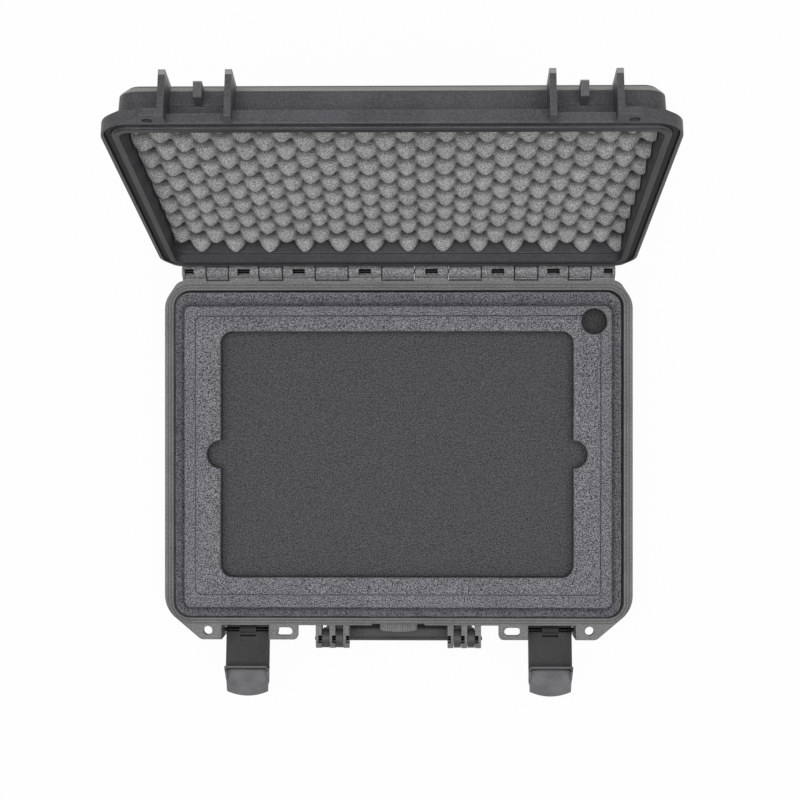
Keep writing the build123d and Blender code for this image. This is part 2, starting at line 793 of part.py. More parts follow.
# ------------------------------------------------------------------ latches
hook_base = lid_rim_z + ledge_height + ledge_clearance - latch_z
hook_top = hook_base + hook_thickness
web_outer = web_inner - web_thickness
tip_x = web_inner - tip_flare
tip_arc_radius = (latch_width**2 / 4 + tip_arc_rise**2) / (2 * tip_arc_rise)
for side, x in (("left", -latch_center_x), ("right", latch_center_x)):
    with BuildPart() as latch:
        # web from the pivot up to the hook, and the scooped finger tip beyond it
        with BuildSketch(latch_side(x - latch_width / 2)):
            with BuildLine():
                Polyline(
                    (web_outer, web_start),
                    (web_inner, web_start),
                    (web_inner, hook_base),
                    (hook_reach, hook_base),
                    (hook_reach, hook_base + hook_rim_thickness),
                    (web_inner, hook_top),
                )
                inner_curve = Spline(
                    (web_inner, hook_top),
                    (tip_x, tip_height),
                    tangents=[(0, 1), (-tip_lean, 1)],
                )
                outer_curve = Spline(
                    (tip_x - tip_thickness, tip_height),
                    (web_outer, hook_base),
                    tangents=[(tip_lean, -1), (0, -1)],
                )
                Line(inner_curve @ 1, outer_curve @ 0)
                Line((web_outer, hook_base), (web_outer, web_start))
            make_face()
        extrude(amount=latch_width)
        # gussets at the ends of the hook, and side flanges on the outer face
        for low in (x - latch_width / 2, x + latch_width / 2 - gusset_thickness):
            with BuildSketch(latch_side(low)):
                Polygon(
                    (web_outer, hook_base),
                    (hook_reach, hook_base),
                    (hook_reach, hook_base + hook_rim_thickness),
                    (web_outer, hook_top + gusset_run),
                    align=None,
                )
            extrude(amount=gusset_thickness)
        for low in (x - latch_width / 2, x + latch_width / 2 - flange_thickness):
            with BuildSketch(latch_side(low)):
                Polygon(
                    (web_inner, web_start),
                    (web_outer, web_start),
                    (web_outer - flange_depth, web_start + flange_slope),
                    (web_outer - flange_depth, hook_base),
                    (tip_x, tip_height - tip_lip_run),
                    (web_inner, hook_base),
                    align=None,
                )
            extrude(amount=flange_thickness)
        # end of the finger tip, rounded and bevelled along the same arc
        with BuildSketch(latch_side(x)):
            Polygon(
                (tip_x - tip_thickness + tip_edge, tip_height),
                (tip_x - 2 * tip_thickness, tip_height),
                (tip_x - 2 * tip_thickness, 2 * tip_height),
                (hook_reach, 2 * tip_height),
                (hook_reach, tip_height - tip_lip_run),
                (tip_x + tip_lip_rise, tip_height - tip_lip_run),
                align=None,
            )
        tip_center = latch_side(x).from_local_coords((0, tip_height - tip_arc_radius))
        revolve(axis=Axis(tip_center, latch_side(x).x_dir), mode=Mode.SUBTRACT)
        # barrel round the pin, with the heel that meets the stop
        with BuildSketch(latch_side(x - latch_barrel_width / 2)):
            Circle(latch_barrel_radius)
            Polygon(
                (web_outer, -heel_length),
                (web_inner, -heel_length),
                (web_inner, 2 * web_start),
                (web_outer, 2 * web_start),
                align=None,
            )
            Circle(latch_pin_radius + running_clearance, mode=Mode.SUBTRACT)
        extrude(amount=latch_barrel_width)
        with BuildSketch(latch_side(x - latch_width / 2)):
            Circle(latch_pin_radius + running_clearance)
        extrude(amount=latch_width, mode=Mode.SUBTRACT)
        # moulding window above the barrel
        with BuildSketch(latch_face(x, web_inner + latch_barrel_radius)):
            with Locations((0, latch_window_from + latch_window_height / 2)):
                Rectangle(latch_window_width, latch_window_height)
        extrude(amount=2 * latch_barrel_radius + web_thickness, mode=Mode.SUBTRACT)
    finish(latch.part, f"latch_{side}")

    with BuildPart() as latch_pin:
        with BuildSketch(base_side(x - latch_bay_width / 2 - ear_thickness)):
            with Locations((latch_y, latch_z)):
                Circle(latch_pin_radius)
        extrude(amount=latch_bay_width + 2 * ear_thickness)
        chamfer(latch_pin.edges().filter_by(GeomType.CIRCLE), pin_chamfer)
    finish(latch_pin.part, f"latch_pin_{side}")

# ------------------------------------------------------------------ handle
arm_outer_x = handle_leaf_spans()[1][1]
arm_inner_x = handle_leaf_spans()[0][0]
arm_top = handle_z - arm_top_drop
grip_top = handle_z - grip_top_drop
grip_bottom = grip_top - grip_height
with BuildPart() as handle:
    # grip bar and the two arms, hanging below the brackets
    with BuildSketch(base_front(handle_y + arm_depth / 2)):
        with BuildLine():
            FilletPolyline(
                (arm_inner_x, arm_top),
                (arm_outer_x, arm_top),
                (arm_outer_x, grip_bottom),
                (-arm_outer_x, grip_bottom),
                (-arm_outer_x, arm_top),
                (-arm_inner_x, arm_top),
                (-arm_inner_x, grip_top),
                (arm_inner_x, grip_top),
                radius=[0, 0, handle_corner, handle_corner, 0, 0, grip_round, grip_round],
                close=True,
            )
        make_face()
    extrude(amount=arm_depth)
    fillet(handle.edges().filter_by(Axis.X).group_by(SortBy.LENGTH)[-2:], grip_round)
    # leaves between the bracket leaves
    for low, high in handle_leaf_spans():
        with BuildSketch(base_side(low)):
            with Locations((handle_y, handle_z)):
                Circle(handle_leaf_radius)
            with Locations((handle_y, (handle_z + arm_top - leaf_root) / 2)):
                Rectangle(arm_depth, handle_z - arm_top + leaf_root)
            with Locations((handle_y, handle_z)):
                Circle(handle_pin_radius + running_clearance, mode=Mode.SUBTRACT)
        extrude(amount=high - low)
    # shallow finger grooves on the front of the grip
    with BuildSketch(base_front(handle_y - arm_depth / 2)):
        with Locations((0, (grip_top + grip_bottom) / 2)):
            with GridLocations(1, 3 * grip_slot_width, 1, 2):
                SlotOverall(2 * (arm_inner_x - grip_groove_end), grip_slot_width)
    extrude(amount=-grip_slot_depth / 2, mode=Mode.SUBTRACT)

finish(handle.part, "handle")

for side, sign in (("left", -1), ("right", 1)):
    inner_x = bracket_first_x
    outer_x = bracket_first_x + 2 * bracket_pitch + bracket_leaf_width + handle_pin_nub
    start_x = inner_x if sign > 0 else -outer_x
    with BuildPart() as handle_pin:
        with BuildSketch(base_side(start_x)):
            with Locations((handle_y, handle_z)):
                Circle(handle_pin_radius)
        extrude(amount=outer_x - inner_x)
        chamfer(handle_pin.edges().filter_by(GeomType.CIRCLE), pin_chamfer)
    finish(handle_pin.part, f"handle_pin_{side}")

# ------------------------------------------------------------------ pressure valve
flange_back_y = boss_face_y - valve_seal_thickness
flange_front_y = flange_back_y - valve_flange_thickness
seat_y = valve_seat_proud - opening_depth / 2
inside_y = seat_y + valve_stem_inside
knob_back_y = flange_back_y
knob_front_y = knob_back_y - valve_knob_depth
spigot_front_y = flange_front_y - valve_spigot_length
with BuildPart() as valve_body:
    with BuildSketch(base_front(inside_y)):
        with Locations((0, valve_z)):
            Circle(valve_stem_radius)
    extrude(amount=inside_y - flange_back_y)
    with BuildSketch(base_front(flange_back_y)):
        with Locations((0, valve_z)):
            Circle(valve_flange_radius)
    extrude(amount=valve_flange_thickness)
    with BuildSketch(base_front(flange_front_y)):
        with Locations((0, valve_z)):
            Circle(valve_spigot_radius)
    extrude(amount=valve_spigot_length)
    # air passage with the membrane seat at its inner end
    with BuildSketch(base_front(inside_y)):
        with Locations((0, valve_z)):
            Circle(valve_air_radius)
    extrude(amount=inside_y - spigot_front_y, mode=Mode.SUBTRACT)
    with BuildSketch(base_front(inside_y)):
        with Locations((0, valve_z)):
            Circle(membrane_radius)
    extrude(amount=membrane_thickness, mode=Mode.SUBTRACT)

finish(valve_body.part, "valve_body")

with BuildPart() as valve_membrane:
    with BuildSketch(base_front(inside_y)):
        with Locations((0, valve_z)):
            Circle(membrane_radius)
    extrude(amount=membrane_thickness)

finish(valve_membrane.part, "valve_membrane")

with BuildPart() as valve_seal:
    with BuildSketch(base_front(boss_face_y)):
        with Locations((0, valve_z)):
            Circle(valve_stem_radius + valve_seal_gap + valve_seal_width)
            Circle(valve_stem_radius + valve_seal_gap, mode=Mode.SUBTRACT)
    extrude(amount=valve_seal_thickness)

finish(valve_seal.part, "valve_seal")

with BuildPart() as valve_nut:
    with BuildSketch(base_front(seat_y)):
        with Locations((0, valve_z)):
            RegularPolygon(valve_nut_flat / 2, 6, major_radius=False)
            Circle(valve_stem_radius + press_clearance, mode=Mode.SUBTRACT)
    extrude(amount=-valve_nut_thickness)

finish(valve_nut.part, "valve_nut")

with BuildPart() as valve_knob:
    with BuildSketch(base_front(knob_back_y)):
        with Locations((0, valve_z)):
            Circle(valve_knob_radius)
            with PolarLocations(valve_knob_radius, knurl_count):
                Circle(knurl_radius, mode=Mode.SUBTRACT)
    extrude(amount=valve_knob_depth)
    # cup round the flange and bore over the spigot
    with BuildSketch(base_front(knob_back_y)):
        with Locations((0, valve_z)):
            Circle(valve_flange_radius + knob_cup_gap)
    extrude(amount=valve_flange_thickness + knob_cup_gap, mode=Mode.SUBTRACT)
    with BuildSketch(base_front(knob_back_y)):
        with Locations((0, valve_z)):
            Circle(valve_spigot_radius + running_clearance)
    extrude(amount=valve_flange_thickness + valve_spigot_length + knob_cup_gap, mode=Mode.SUBTRACT)
    # coin slot in the face
    with BuildSketch(base_front(knob_front_y)):
        with Locations((0, valve_z)):
            SlotOverall(coin_slot_length, coin_slot_width)
    extrude(amount=-coin_slot_depth, mode=Mode.SUBTRACT)

finish(valve_knob.part, "valve_knob")

# ------------------------------------------------------------------ foam
plateau_z = rim_z - foam_top_drop
ledge_z = rim_z - foam_ledge_drop
foam_right = foam_shift_x + opening_width / 2
foam_back = foam_shift_y + opening_depth / 2
hole_x = foam_right - lift_hole_side
hole_y = foam_back - lift_hole_back


def tray_outline(gap):
    """Rectangle of the lift-out tray, this far inside the cut in the surround."""
    width = opening_width - 2 * (tray_side_inset + gap)
    length = opening_depth - tray_back_inset - tray_front_inset - 2 * gap
    with Locations((foam_shift_x, foam_shift_y + (tray_front_inset - tray_back_inset) / 2)):
        RectangleRounded(width, length, tray_corner)


def corner_outline(gap):
    """Rectangle round the lifting hole, this far inside the cut in the surround."""
    with Locations((hole_x + post_wall_side / 2, hole_y + post_wall_back / 2)):
        Rectangle(
            2 * lift_hole_radius + post_wall_side - 2 * gap,
            2 * lift_hole_radius + post_wall_back - 2 * gap,
        )


with BuildPart() as foam_surround:
    with BuildSketch(Plane.XY.offset(ledge_z)):
        with Locations((foam_shift_x, foam_shift_y)):
            tub(-foam_gap, ledge_z)
    extrude(amount=-(ledge_z - floor_thickness), taper=base_draft)
    with BuildSketch(Plane.XY.offset(ledge_z)):
        with Locations(
            (foam_shift_x, foam_shift_y + (plateau_front_inset - plateau_back_inset) / 2)
        ):
            RectangleRounded(
                opening_width - 2 * plateau_side_inset,
                opening_depth - plateau_back_inset - plateau_front_inset,
                plateau_corner,
            )
    extrude(amount=plateau_z - ledge_z)
    with BuildSketch(Plane.XY.offset(floor_thickness)):
        tray_outline(0)
        corner_outline(0)
    extrude(amount=plateau_z, mode=Mode.SUBTRACT)
    with BuildSketch(base_front(-opening_depth / 2 + nut_recess_depth)):
        with Locations((0, valve_z)):
            Circle(nut_recess_radius)
    extrude(amount=2 * nut_recess_depth, mode=Mode.SUBTRACT)

finish(foam_surround.part, "foam_surround")

with BuildPart() as foam_corner_post:
    with BuildSketch(Plane.XY.offset(floor_thickness)):
        corner_outline(tray_gap)
        with Locations((foam_shift_x, foam_shift_y + (tray_front_inset - tray_back_inset) / 2)):
            Rectangle(
                opening_width - 2 * tray_side_inset,
                opening_depth - tray_back_inset - tray_front_inset,
                mode=Mode.SUBTRACT,
            )
    extrude(amount=plateau_z - floor_thickness)
    with BuildSketch(Plane.XY.offset(plateau_z)):
        with Locations((hole_x, hole_y)):
            Circle(lift_hole_radius)
    extrude(amount=-pocket_depth, mode=Mode.SUBTRACT)

finish(foam_corner_post.part, "foam_corner_post")

pocket_x = foam_shift_x + pocket_shift_x
pocket_width = opening_width - 2 * pocket_side_inset
pocket_length = opening_depth - 2 * pocket_end_inset
notch_places = (
    (pocket_x - pocket_width / 2, foam_shift_y),
    (pocket_x + pocket_width / 2, foam_shift_y),
)
with BuildPart() as foam_tray_frame:
    with BuildSketch(Plane.XY.offset(plateau_z)):
        tray_outline(tray_gap)
        with Locations((hole_x, hole_y)):
            Circle(lift_hole_radius, mode=Mode.SUBTRACT)
        with Locations((pocket_x, foam_shift_y)):
            RectangleRounded(pocket_width, pocket_length, pocket_corner, mode=Mode.SUBTRACT)
        with Locations(*notch_places):
            Circle(finger_notch_radius, mode=Mode.SUBTRACT)
    extrude(amount=-pocket_depth)

finish(foam_tray_frame.part, "foam_tray_frame")

with BuildPart() as foam_tray_base:
    with BuildSketch(Plane.XY.offset(plateau_z - pocket_depth)):
        tray_outline(tray_gap)
    extrude(amount=floor_thickness + pocket_depth - plateau_z)

finish(foam_tray_base.part, "foam_tray_base")

def lid_foam_outline(recess):
    """Outline of the lid's foam, this far above the lid's rim plane."""
    clear = lid_foam_gap + recess * tan(radians(lid_draft))
    lid_tub(lid_wall_inset + wall + clear)


def finger_places():
    """Centres of the foam fingers: columns, each half a pitch off its neighbours."""
    places = []
    columns = int((opening_width - finger_side_inset) / finger_pitch_x * 2)
    rows = int(opening_depth / finger_pitch_y) + 1
    for column in range(-1, columns + 1):
        x = finger_side_inset - opening_width / 2 + column * finger_pitch_x / 2
        offset = finger_shift_y + (column % 2) * finger_pitch_y / 2
        for row in range(-(rows // 2), rows // 2 + 1):
            places.append((x, offset + row * finger_pitch_y))
    return places


lid_inside_top = lid_height - lid_top_thickness
hollow_z = lid_foam_recess + finger_height
with BuildPart() as lid_foam:
    with BuildSketch(lid_level(lid_rim_z + hollow_z)):
        with Locations(*finger_places()):
            Polygon(
                (finger_pitch_x / 2 - finger_gap, 0),
                (0, finger_pitch_y / 2 - finger_gap),
                (finger_gap - finger_pitch_x / 2, 0),
                (0, finger_gap - finger_pitch_y / 2),
            )
    extrude(amount=-finger_height, taper=finger_slope)
    with BuildSketch(lid_level(lid_rim_z + lid_foam_recess)):
        lid_foam_outline(lid_foam_recess)
    extrude(amount=finger_height, taper=lid_draft, mode=Mode.INTERSECT)
    with BuildSketch(lid_level(lid_rim_z + hollow_z)):
        lid_foam_outline(hollow_z)
    extrude(amount=lid_inside_top - hollow_z, taper=lid_draft)

finish(lid_foam.part, "lid_foam")
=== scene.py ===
import math

import bmesh
import bpy
from mathutils import Matrix, Vector, noise


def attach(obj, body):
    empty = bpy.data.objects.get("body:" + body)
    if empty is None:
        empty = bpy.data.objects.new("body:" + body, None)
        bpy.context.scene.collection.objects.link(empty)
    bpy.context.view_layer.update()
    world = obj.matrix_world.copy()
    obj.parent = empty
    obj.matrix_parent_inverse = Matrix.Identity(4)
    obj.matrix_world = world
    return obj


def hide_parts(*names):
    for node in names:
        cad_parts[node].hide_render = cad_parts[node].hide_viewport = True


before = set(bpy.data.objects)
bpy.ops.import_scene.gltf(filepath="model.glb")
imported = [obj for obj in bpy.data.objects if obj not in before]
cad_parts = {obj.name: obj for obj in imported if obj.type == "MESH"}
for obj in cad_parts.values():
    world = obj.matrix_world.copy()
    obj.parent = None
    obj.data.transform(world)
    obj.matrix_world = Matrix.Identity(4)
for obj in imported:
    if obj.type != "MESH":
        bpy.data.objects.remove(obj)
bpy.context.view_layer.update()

# The laptop case stands open: +Z up, +Y towards the hinge, metres, origin at the middle of
# its resting face. The two shells come first, then what is pinned or pressed into them.


# ---------------------------------------------------------------- base shell
# Injection-moulded polypropylene tub, dark grey, with a fine eroded grain on every outer face. Rims
# and ears are painted a little paler on their edges: partly rubbed by hands and the floor, partly
# painted highlight.
hinge_y = 0.186
hinge_z = 0.0965
knuckle_ends = (0.0166, 0.0508, 0.0842, 0.1176, 0.1415, 0.1725, 0.1951)
knuckle_reach = (0.0086, 0.0080)
seam_reach = (0.0104, 0.0098)
seam_half = (0.0009, 0.0005)
opening_half = (0.2288, 0.1667)
opening_corner = 0.0175
rim_top = (0.0964, 0.0970)
channel_half = (0.0009, 0.0004)
channels = ((0.0017, 0.45), (0.0048, 0.55))  # distance from the opening, depth of tone
black_dust_and_shade = (0.012, 0.012, 0.012, 1)
shade = (0.03, 0.03, 0.03, 1)


class Wire:
    """One output in a material's tree. Arithmetic on it adds Math nodes."""

    def __init__(self, paint, socket):
        self.paint = paint
        self.socket = socket

    def maths(self, operation, first, second):
        return self.paint.node("ShaderNodeMath", {"operation": operation}, {0: first, 1: second})

    def __add__(self, other):
        return self.maths("ADD", self, other)

    def __sub__(self, other):
        return self.maths("SUBTRACT", self, other)

    def __rsub__(self, other):
        return self.maths("SUBTRACT", other, self)

    def __mul__(self, other):
        return self.maths("MULTIPLY", self, other)

    def __pow__(self, other):
        return self.maths("POWER", self, other)

    __radd__ = __add__
    __rmul__ = __mul__


class Tree:
    """A node tree and the one way in which nodes are added to it."""

    def __init__(self, tree):
        self.tree = tree

    def node(self, kind, settings, inputs, output=0):
        made = self.tree.nodes.new(kind)
        for name, value in settings.items():
            if name == "stops":
                for place, (position, level) in enumerate(value):
                    if place > 1:
                        made.color_ramp.elements.new(position)
                    made.color_ramp.elements[place].position = position
                    made.color_ramp.elements[place].color = (level, level, level, 1)
            else:
                setattr(made, name, value)
        for key, value in inputs.items():
            if isinstance(value, Wire):
                self.tree.links.new(value.socket, made.inputs[key])
            else:
                made.inputs[key].default_value = value
        return Wire(self, made.outputs[output])

    def own(self, name):
        """The result of a node that the tree came with."""
        return Wire(self, self.tree.nodes[name].outputs[0])

    def close(self, wire, output):
        """Makes a shader the tree's result."""
        self.tree.links.new(wire.socket, self.tree.nodes[output].inputs["Surface"])


class Paint(Tree):
    """A procedural material: its surface shader and the patterns and masks it is fed with."""

    def __init__(self, name, constants):
        self.material = bpy.data.materials.new(name)
        self.material.use_nodes = True
        super().__init__(self.material.node_tree)
        self.shader = self.tree.nodes["Principled BSDF"]
        for socket, value in constants.items():
            self.shader.inputs[socket].default_value = value

    def place(self):
        """Coordinates that stay with the piece, in metres."""
        return self.node("ShaderNodeTexCoord", {}, {}, "Object")

    def along(self, axis):
        """Distance along one axis: 0 across, 1 towards the hinge, 2 up."""
        return self.node("ShaderNodeSeparateXYZ", {}, {0: self.place()}, axis)

    def noise(self, scale, detail=2.0, roughness=0.5, stretch=(1, 1, 1)):
        spread = self.node(
            "ShaderNodeVectorMath", {"operation": "MULTIPLY"}, {0: self.place(), 1: stretch}
        )
        return self.node(
            "ShaderNodeTexNoise",
            {},
            {"Vector": spread, "Scale": scale, "Detail": detail, "Roughness": roughness},
        )

    def ramp(self, wire, *stops):
        return self.node("ShaderNodeValToRGB", {"stops": stops}, {0: wire})

    def fade(self, wire, start, end):
        """From 0 at the start to 1 at the end, exact for distances far too short for a ramp."""
        span = {"Value": wire, "From Min": start, "From Max": end}
        return self.node("ShaderNodeMapRange", {}, span)

    def size(self, wire):
        """The same distance without its sign."""
        return self.node("ShaderNodeMath", {"operation": "ABSOLUTE"}, {0: wire})

    def blend(self, share, first, second):
        return self.node(
            "ShaderNodeMix", {"data_type": "RGBA"}, {0: share, 6: first, 7: second}, 2
        )

    def edge(self, radius):
        """About 1 on rounded edges and 0 on flat faces."""
        rounded = self.node("ShaderNodeBevel", {"samples": 6}, {"Radius": radius})
        flat = self.node("ShaderNodeNewGeometry", {}, {}, "True Normal")
        match = self.node(
            "ShaderNodeVectorMath", {"operation": "DOT_PRODUCT"}, {0: rounded, 1: flat}, "Value"
        )
        return self.ramp(1 - match, (0.02, 0.0), (0.25, 1.0))

    def bump(self, height, distance, strength=1.0, rounded=0.0):
        """Relief of this height in metres, over edges softened by the rounded radius."""
        inputs = {"Height": height, "Distance": distance, "Strength": strength}
        if rounded:
            inputs["Normal"] = self.node("ShaderNodeBevel", {"samples": 6}, {"Radius": rounded})
        relief = self.node("ShaderNodeBump", {}, inputs)
        self.feed("Normal", relief)

    def feed(self, socket, wire):
        self.tree.links.new(wire.socket, self.shader.inputs[socket])


def moulded(
    name, dark, light, rubbed_and_highlight, roughness, speck=520, grain=0.00016, patches=(), gloss=0.45
):
    """Moulded plastic with an eroded grain: two tones, a paler tone on edges that is partly rubbed
    wear and partly painted highlight, and patches.
    """
    paint = Paint(name, {"Specular IOR Level": gloss})
    fine = paint.noise(speck, 3.0, 0.65)
    cloud = paint.noise(22, 3.0, 0.55)
    tone = paint.ramp(fine * 0.75 + cloud * 0.35, (0.38, 0.0), (0.68, 1.0))
    body = paint.blend(tone, dark, light)
    # Edges painted paler: partly rubbed wear, partly painted highlight.
    wear_and_highlight = paint.edge(0.0011) * paint.ramp(paint.noise(60, 2.0), (0.35, 0.15), (0.65, 0.75))
    body = paint.blend(wear_and_highlight, body, rubbed_and_highlight)
    for share, colour in [patch(paint) for patch in patches]:
        body = paint.blend(share, body, colour)
    paint.feed("Base Color", body)
    paint.feed("Roughness", roughness + 0.16 * cloud - 0.08)
    paint.bump(fine, grain, 0.7, rounded=0.0006)
    return paint.material


def dress(node, material):
    """Gives a CAD piece its finish and keeps its shape."""
    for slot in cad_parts[node].material_slots:
        slot.material = material


def knuckle_highlights(paint):
    """Hinge barrels: a painted highlight, speckled brighter over them."""
    y, z = paint.along(1) - hinge_y, paint.along(2) - hinge_z
    near = paint.fade((y * y + z * z) ** 0.5, *knuckle_reach)
    speck = paint.ramp(paint.noise(620, 2.0, 0.7), (0.42, 0.0), (0.60, 1.0))
    return near, paint.blend(speck, (0.10, 0.10, 0.102, 1), (0.32, 0.32, 0.328, 1))


def knuckle_seam_shade(paint):
    """Painted shade, and dust, in the slits between the knuckles."""
    y, z = paint.along(1) - hinge_y, paint.along(2) - hinge_z
    near = paint.fade((y * y + z * z) ** 0.5, *seam_reach)
    x = paint.size(paint.along(0))
    slits = 0.0
    for end in knuckle_ends:
        slits = paint.fade(paint.size(x - end), *seam_half) + slits
    return near * slits, black_dust_and_shade


def rim_channel_shade(paint):
    """Painted shade of two fine channels round the rim, outside the opening: dark lines only."""
    sides = []
    for axis, half in ((0, opening_half[0]), (1, opening_half[1])):
        sides.append(paint.size(paint.along(axis)) - (half - opening_corner))
    past = [side.maths("MAXIMUM", side, 0.0) for side in sides]
    larger = sides[0].maths("MAXIMUM", sides[0], sides[1])
    within = larger.maths("MINIMUM", larger, 0.0)
    away = (past[0] * past[0] + past[1] * past[1]) ** 0.5 + within - opening_corner
    lines = 0.0
    for middle, deep in channels:
        lines = deep * paint.fade(paint.size(away - middle), *channel_half) + lines
    return lines * paint.fade(paint.along(2), *rim_top), shade


base_plastic = moulded(
    "base_plastic",
    (0.075, 0.075, 0.077, 1), (0.212, 0.212, 0.214, 1), (0.32, 0.32, 0.32, 1), 0.52,
    patches=[knuckle_highlights, knuckle_seam_shade, rim_channel_shade],
)
dress("base_shell", base_plastic)


# ---------------------------------------------------------------- lid shell
# The same moulding as the base in a slightly darker batch; it leans back on its hinge.
lid_swing = math.radians(104.2)
bevel_foot = (0.0374, 0.0380)
bevel_head = (0.0431, 0.0427)
lip_edge = (0.0016, 0.0010)


def lid_height(paint):
    """Height over the hinge's level when the lid is shut, for the lid as it stands open."""
    out, up = paint.along(1) - hinge_y, paint.along(2) - hinge_z
    return math.sin(lid_swing) * out + math.cos(lid_swing) * up


def lit_chamfer(paint):
    """The bevel round the lid's top, painted pale: painted light on a face turned up and back."""
    height = lid_height(paint)
    bevel = paint.fade(height, *bevel_foot) * paint.fade(height, *bevel_head)
    return 0.85 * bevel, (0.27, 0.27, 0.25, 1)


def shaded_lip(paint):
    """The inner lip's edge, painted dark: painted shade."""
    return 0.8 * paint.fade(lid_height(paint), *lip_edge), (0.022, 0.022, 0.024, 1)


lid_plastic = moulded(
    "lid_plastic",
    (0.032, 0.0325, 0.0355, 1), (0.078, 0.0795, 0.086, 1), (0.20, 0.20, 0.205, 1), 0.5,
    patches=[shaded_lip, knuckle_highlights, knuckle_seam_shade, lit_chamfer],
)
dress("lid_shell", lid_plastic)


# ---------------------------------------------------------------- pins
# Plain drawn steel rod, pushed through the knuckles, the latch ears and the handle leaves.
steel = Paint("pin_steel", {"Metallic": 1.0})
drawn = steel.noise(900, 2.0, 0.6, stretch=(0.05, 1, 1))
steel.feed("Roughness", 0.24 + 0.3 * drawn)
steel.feed("Base Color", steel.blend(drawn, (0.006, 0.006, 0.0062, 1), (0.030, 0.030, 0.031, 1)))
steel.bump(drawn, 0.00005, 0.5)
dress("hinge_pin", steel.material)
for part in ("latch", "handle"):
    for side in ("left", "right"):
        dress(f"{part}_pin_{side}", steel.material)


# ---------------------------------------------------------------- seal
# Black moulded rubber cord, pressed into the lid's groove, and the ring under the valve.
rubber = Paint("seal_rubber", {"Specular IOR Level": 0.35})
dust = rubber.noise(260, 3.0, 0.6)
rubber.feed("Base Color", rubber.blend(dust, black_dust_and_shade, (0.04, 0.04, 0.04, 1)))
rubber.feed("Roughness", 0.62 + 0.2 * dust)
rubber.bump(dust, 0.00008, 0.5)
dress("lid_gasket", rubber.material)
dress("valve_seal", rubber.material)


# ---------------------------------------------------------------- latches
# One-piece moulded levers on their pins: a flat web with a hook across it, side flanges under it
# and a scooped finger tip, satin from the mould, with a painted sheen at the tip and a painted
# highlight along the hook's end.
pivot_y = -0.1825
pivot_z = 0.070
lever_x = 0.156
lever_swing = math.radians(80)
lever_half = 0.0223
web_face = 0.0010
web_back = -0.0024
hook_foot = 0.03755
hook_top = 0.04075
hook_reach = 0.0140
flange_depth = 0.0044
tip_end = 0.0677
tip_flare = 0.0090
tip_thickness = 0.0028
tip_arc = 0.0046
tip_scoop = 0.0022
tip_bed = (0.72, 0.2)  # where the scoop ends, and how much sooner at the sides
tip_rise = 0.2
tip_taper = 0.05
tip_grid = (30, 26)
barrel_radius = 0.0045
barrel_half = 0.0085
barrel_sides = 28
skirt_end = -0.0090
skirt_top = 0.0035
skirt_face = -0.0008
web_foot = 0.0027
slit_ends = (0.0054, 0.0074)
slit_floor = -0.0022
hook_edge = 0.0020
flange_rise = 0.0020
flange_corner = (-0.0068, 0.0560)
gusset_foot = 0.0518
gusset_width = 0.0024
shine_from = (0.2225, 0.2240)
slit_out = 0.1887
slit_half = (0.0012, 0.0009)
hook_end = (0.0886, 0.0896)
rubbed_and_highlight_grey = (0.17, 0.17, 0.175, 1)


def lever_point(x, inward, along):
    """A point of a lever swung open: inward from its web's plane, along it from the pin."""
    return (
        x,
        pivot_y + inward * math.cos(lever_swing) - along * math.sin(lever_swing),
        pivot_z + inward * math.sin(lever_swing) + along * math.cos(lever_swing),
    )


def lever_prism(mesh, outline, low, high, soft=0.0004):
    """A slab of the lever with this side view, between two widths, its edges softened."""
    ends = [[mesh.verts.new(lever_point(x, *point)) for point in outline] for x in (low, high)]
    count = len(outline)
    faces = [mesh.faces.new(ends[0][::-1]), mesh.faces.new(ends[1])]
    for place in range(count):
        after = (place + 1) % count
        faces.append(mesh.faces.new(
            (ends[0][place], ends[0][after], ends[1][after], ends[1][place])
        ))
    bmesh.ops.recalc_face_normals(mesh, faces=faces)
    edges = dict.fromkeys(edge for face in faces for edge in face.edges)
    bmesh.ops.bevel(
        mesh, geom=list(edges), offset=soft, segments=2, affect="EDGES", clamp_overlap=True
    )


def lever_tip(mesh, middle):
    """The finger tip: it flares away from the case, scooped on the face a finger pulls."""
    columns, rows = tip_grid
    skins = {}
    for level in ("face", "back"):
        grid = []
        for column in range(columns + 1):
            across = 2 * column / columns - 1
            end = tip_end - tip_arc * across ** 2
            line = []
            for row in range(rows + 1):
                share = row / rows
                along = hook_foot + (end - hook_foot) * share
                run = max(0, (along - hook_top) / (tip_end - hook_top))
                lean = tip_flare * run ** 1.8
                bed = share / (tip_bed[0] - tip_bed[1] * across ** 2)
                rise = min(1, max(0, (bed - 1) / tip_rise))
                dip = math.sin(0.5 * math.pi * min(1, bed)) - rise * rise * (3 - 2 * rise)
                depth = tip_scoop * dip if level == "face" else tip_thickness
                inward = web_face - lean - depth
                x = middle + across * lever_half * (1 - tip_taper * share)
                line.append(mesh.verts.new(lever_point(x, inward, along)))
            grid.append(line)
        skins[level] = grid
    face, back = skins["face"], skins["back"]
    faces = []
    for column in range(columns):
        for row in range(rows):
            for skin in (face, back):
                faces.append(mesh.faces.new((
                    skin[column][row], skin[column][row + 1],
                    skin[column + 1][row + 1], skin[column + 1][row],
                )))
    rim = (
        [(c, 0) for c in range(columns)] + [(columns, r) for r in range(rows)]
        + [(c, rows) for c in range(columns, 0, -1)] + [(0, r) for r in range(rows, 0, -1)]
    )
    for place, (c, r) in enumerate(rim):
        after = rim[(place + 1) % len(rim)]
        faces.append(mesh.faces.new(
            (face[c][r], face[after[0]][after[1]], back[after[0]][after[1]], back[c][r])
        ))
    bmesh.ops.recalc_face_normals(mesh, faces=faces)


def made(name, mesh):
    """Turns a finished mesh into a piece of the scene."""
    data = bpy.data.meshes.new(name)
    mesh.to_mesh(data)
    mesh.free()
    piece = bpy.data.objects.new(name, data)
    bpy.context.collection.objects.link(piece)
    return piece


